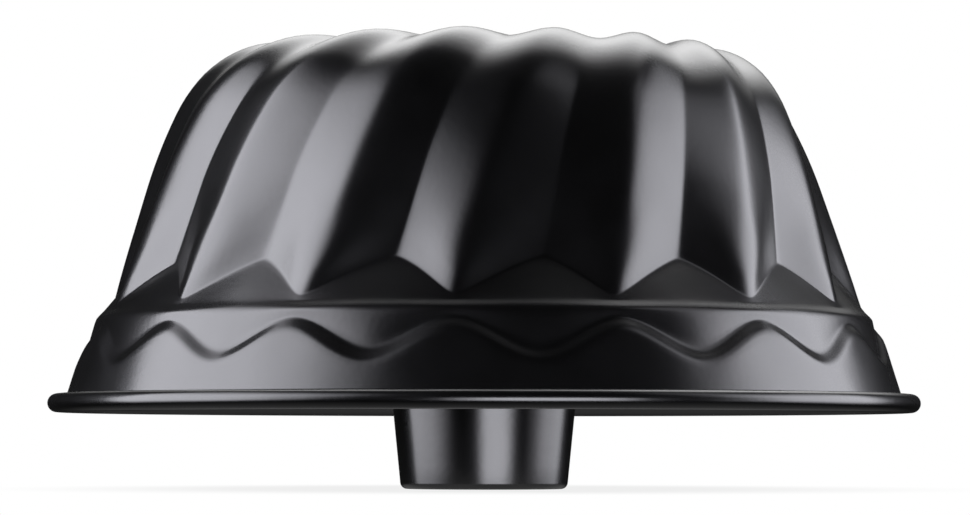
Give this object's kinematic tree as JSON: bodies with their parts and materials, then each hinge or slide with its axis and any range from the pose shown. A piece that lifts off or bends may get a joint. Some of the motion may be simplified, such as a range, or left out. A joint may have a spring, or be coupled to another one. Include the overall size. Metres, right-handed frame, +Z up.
{
  "type": "fluted tube pan",
  "caption": "Round baking pan with swirled flutes, a rolled rim and a tapered centre tube that stands on its free end.",
  "frame": {"origin": "on the pan's axis, in the plane of the foot at the centre tube's free end, on which the pan stands", "axes": "+Z up along the tube, from its free end through the mouth to the crown; +X through a flute's crest at the foot of the wall"},
  "size_m": [0.2322, 0.2322, 0.1182],
  "materials": {
    "coated_steel": "black non-stick coating, satin, with a fine metallic sheen",
    "wire_steel": "drawn wire, bare"
  },
  "bodies": {
    "root": {"fluted_shell": "coated_steel", "centre_tube": "coated_steel", "rim_wire": "wire_steel"}
  },
  "joints": []
}
